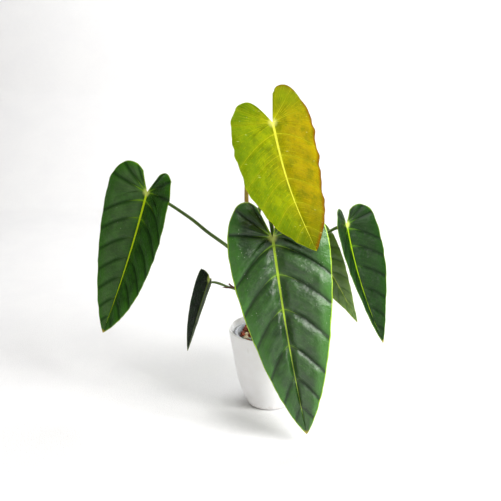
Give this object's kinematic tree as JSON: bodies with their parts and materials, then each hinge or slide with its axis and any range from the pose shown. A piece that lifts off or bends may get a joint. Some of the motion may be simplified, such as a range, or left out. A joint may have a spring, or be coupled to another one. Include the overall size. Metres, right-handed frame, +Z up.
{
  "type": "potted philodendron",
  "caption": "Climbing philodendron with long heart-shaped leaves on slender stalks, growing in mineral granules in a clear inner pot inside a plain white tapered cover pot.",
  "frame": {"origin": "middle of the cover pot's flat base, on the surface that it stands on", "axes": "+Z up along the pots' axis, -Y towards the plant's front, +X to the right as seen from the front"},
  "size_m": [0.5548, 0.281, 0.6117],
  "materials": {
    "cover_pot": "smooth satin white",
    "nursery_pot": "cloudy translucent, moulded",
    "fill": "packed porous granules",
    "lava": "rough, porous, red-brown",
    "pumice": "rough, porous, cream",
    "zeolite": "chipped, grey-green",
    "stem": "green stem with pale leaf scars",
    "sheath": "smooth rolled young leaf",
    "root": "dry red-brown aerial root",
    "stalk": "smooth green leaf stalk with fine pale flecks",
    "young_stalk": "smooth orange-brown young leaf stalk",
    "leaf": "glossy waxy dark green leaf with pale yellow-green veins",
    "young_leaf": "satin lime and ochre young leaf with pale yellow veins"
  },
  "bodies": {
    "root": {"aerial_root_forked": "root", "blade_back": "leaf", "blade_front": "leaf", "blade_left": "leaf", "blade_lower_left": "leaf", "blade_right": "leaf", "blade_top": "young_leaf", "cover_pot": "cover_pot", "granule_lava_1": "lava", "granule_lava_10": "lava", "granule_lava_11": "lava", "granule_lava_13": "lava", "granule_lava_15": "lava", "granule_lava_16": "lava", "granule_lava_18": "lava", "granule_lava_20": "lava", "granule_lava_21": "lava", "granule_lava_3": "lava", "granule_lava_5": "lava", "granule_lava_6": "lava", "granule_lava_8": "lava", "granule_pumice_12": "pumice", "granule_pumice_17": "pumice", "granule_pumice_2": "pumice", "granule_pumice_22": "pumice", "granule_pumice_7": "pumice", "granule_zeolite_14": "zeolite", "granule_zeolite_19": "zeolite", "granule_zeolite_4": "zeolite", "granule_zeolite_9": "zeolite", "ground_root_1": "root", "ground_root_2": "root", "main_stem": "stem", "next_leaf_sheath": "sheath", "nursery_pot": "nursery_pot", "petiole_back": "stalk", "petiole_front": "stalk", "petiole_left": "stalk", "petiole_lower_left": "stalk", "petiole_right": "stalk", "petiole_top": "young_stalk", "substrate_fill": "fill"}
  },
  "joints": []
}
